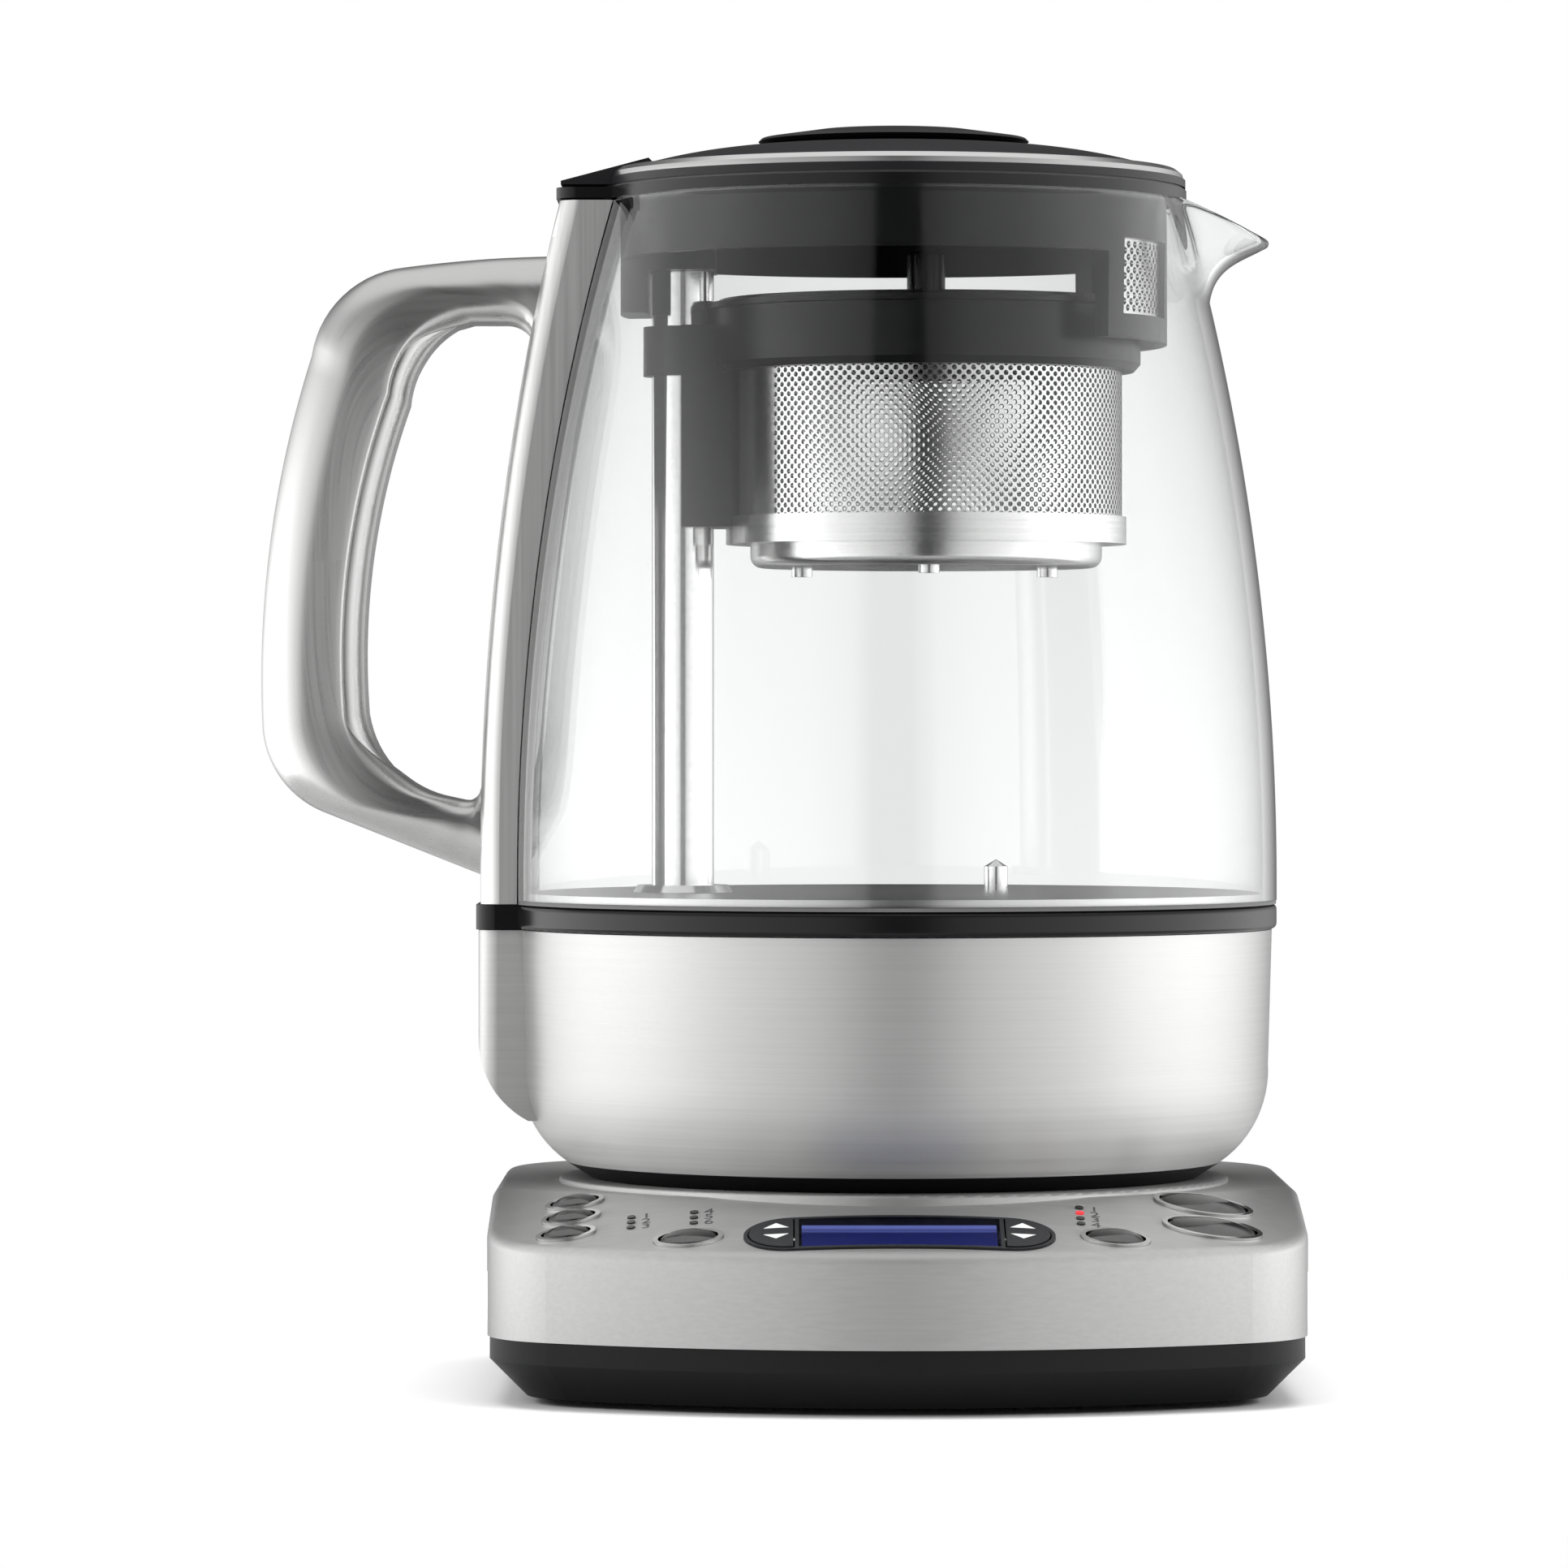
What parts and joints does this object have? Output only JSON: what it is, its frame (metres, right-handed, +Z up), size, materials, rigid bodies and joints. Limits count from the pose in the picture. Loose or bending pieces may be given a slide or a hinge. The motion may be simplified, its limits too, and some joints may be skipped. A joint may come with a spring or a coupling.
{
  "type": "automatic tea maker",
  "caption": "Glass kettle with handle, spout and lid on a powered base with buttons and display; a tea basket rides up and down a post inside the jug.",
  "frame": {"origin": "on the table under the axis of the jug and of its power connector", "axes": "+Z up; the handle points to -X and the spout to +X; the control panel faces -Y"},
  "size_m": [0.2152, 0.1846, 0.2613],
  "materials": {
    "brushed_steel": "brushed stainless steel",
    "polished_steel": "polished stainless steel",
    "button_chrome": "dark chrome",
    "black_plastic": "matt black plastic",
    "gloss_black": "gloss black plastic",
    "smoke_plastic": "smoke grey plastic",
    "rocker_plastic": "dark grey plastic",
    "glass": "clear borosilicate glass",
    "lens": "clear display lens",
    "lcd": "blue display",
    "lamp": "unlit lamp",
    "lamp_red": "lit red lamp",
    "rubber": "soft black rubber",
    "silicone": "grey silicone",
    "circuit_board": "green circuit board",
    "component": "moulded component",
    "brass": "brass contacts",
    "plate_steel": "satin heating plate",
    "perforated_steel": "perforated stainless steel",
    "motor_steel": "plated motor case",
    "magnet": "sealed magnet",
    "acetal": "acetal"
  },
  "bodies": {
    "power_base": {"base_tray": "black_plastic", "base_cover": "brushed_steel", "base_feet": "rubber", "base_screws": "polished_steel", "panel_carrier": "black_plastic", "cord_gland": "black_plastic", "button_bezels": "polished_steel", "indicator_lamps": "lamp", "lit_lamp": "lamp_red", "rocker_pins": "polished_steel", "display_frame": "rocker_plastic", "display_lens": "lens", "lcd_panel": "lcd", "control_board": "circuit_board", "key_switches": "component", "power_board": "component", "connector_boss": "black_plastic", "connector_rings": "brass"},
    "jug": {"jug_foot": "black_plastic", "socket_contacts": "brass", "jug_socket": "black_plastic", "jug_base_shell": "brushed_steel", "collar_ring": "gloss_black", "plate_seal": "silicone", "glass_jug": "glass", "heating_plate": "plate_steel", "heater_ring": "motor_steel", "thermal_probe": "polished_steel", "guide_post": "polished_steel", "post_foot": "polished_steel", "lift_motor": "motor_steel", "handle_screws": "polished_steel", "handle_column": "brushed_steel", "column_core": "black_plastic", "rim_ring": "gloss_black", "handle_shell": "brushed_steel", "handle_liner": "brushed_steel"},
    "lead_screw": {"lead_screw": "polished_steel"},
    "magnet_carriage": {"magnet_carriage": "acetal"},
    "basket": {"basket_magnets": "magnet", "basket_carriage": "smoke_plastic", "basket_collar": "smoke_plastic", "basket_mesh": "perforated_steel", "basket_floor": "polished_steel"},
    "basket_lid": {"basket_lid": "gloss_black"},
    "jug_lid": {"lid_cover": "gloss_black", "lid_trim": "polished_steel", "lid_seal": "silicone", "lid_knob": "gloss_black", "lid_skirt": "smoke_plastic", "spout_filter": "perforated_steel"},
    "temperature_rocker": {"temperature_rocker": "rocker_plastic"},
    "time_rocker": {"time_rocker": "rocker_plastic"},
    "auto_start_button": {"auto_start_button": "button_chrome"},
    "keep_warm_button": {"keep_warm_button": "button_chrome"},
    "basket_button": {"basket_button": "button_chrome"},
    "tea_type_button": {"tea_type_button": "button_chrome"},
    "strength_button": {"strength_button": "button_chrome"},
    "hot_water_button": {"hot_water_button": "button_chrome"},
    "brew_button": {"brew_button": "button_chrome"}
  },
  "joints": [
    {"name": "auto_start_button_push", "type": "slide", "parent": "power_base", "child": "auto_start_button", "axis": [0.1607, 0.2165, -0.963], "range_m": [0, 0.0008], "stiffness_N_per_m": 400},
    {"name": "keep_warm_button_push", "type": "slide", "parent": "power_base", "child": "keep_warm_button", "axis": [0.1503, 0.2238, -0.963], "range_m": [0, 0.0008], "stiffness_N_per_m": 400},
    {"name": "basket_button_push", "type": "slide", "parent": "power_base", "child": "basket_button", "axis": [0.141, 0.2299, -0.963], "range_m": [0, 0.0008], "stiffness_N_per_m": 400},
    {"name": "tea_type_button_push", "type": "slide", "parent": "power_base", "child": "tea_type_button", "axis": [0.0887, 0.2546, -0.963], "range_m": [0, 0.0008], "stiffness_N_per_m": 400},
    {"name": "strength_button_push", "type": "slide", "parent": "power_base", "child": "strength_button", "axis": [-0.0909, 0.2539, -0.963], "range_m": [0, 0.0008], "stiffness_N_per_m": 400},
    {"name": "hot_water_button_push", "type": "slide", "parent": "power_base", "child": "hot_water_button", "axis": [-0.1511, 0.2233, -0.963], "range_m": [0, 0.0008], "stiffness_N_per_m": 400},
    {"name": "brew_button_push", "type": "slide", "parent": "power_base", "child": "brew_button", "axis": [-0.1372, 0.2321, -0.963], "range_m": [0, 0.0008], "stiffness_N_per_m": 400},
    {"name": "temperature_rocker_tilt", "type": "hinge", "parent": "power_base", "child": "temperature_rocker", "pos_m": [-0.02553, -0.08496, 0.03407], "axis": [0.9985, -0.0145, 0.053], "range_deg": [-4, 4], "stiffness_Nm_per_rad": 0.02},
    {"name": "time_rocker_tilt", "type": "hinge", "parent": "power_base", "child": "time_rocker", "pos_m": [0.02553, -0.08496, 0.03407], "axis": [0.9985, 0.0145, -0.053], "range_deg": [-4, 4], "stiffness_Nm_per_rad": 0.02},
    {"name": "jug_lift", "type": "slide", "parent": "power_base", "child": "jug", "axis": [0, 0, 1], "range_m": [0, 0.1]},
    {"name": "jug_lid_lift", "type": "slide", "parent": "jug", "child": "jug_lid", "axis": [0, 0, 1], "range_m": [0, 0.06]},
    {"name": "basket_travel", "type": "slide", "parent": "jug", "child": "basket", "axis": [0, 0, 1], "range_m": [-0.058, 0]},
    {"name": "basket_lid_lift", "type": "slide", "parent": "basket", "child": "basket_lid", "axis": [0, 0, 1], "range_m": [0, 0.01]},
    {"name": "lead_screw_turn", "type": "hinge", "parent": "jug", "child": "lead_screw", "pos_m": [-0.04415, 0, 0.16], "axis": [0, 0, 1], "range_deg": [-1745, 5]},
    {"name": "magnet_carriage_travel", "type": "slide", "parent": "jug", "child": "magnet_carriage", "axis": [0, 0, 1], "range_m": [-0.0581, 0.0001]}
  ],
  "couplings": [
    {"joint": "lead_screw_turn", "follows": "basket_travel", "rad_per_m": 523.6},
    {"joint": "magnet_carriage_travel", "follows": "basket_travel", "ratio": 1}
  ]
}
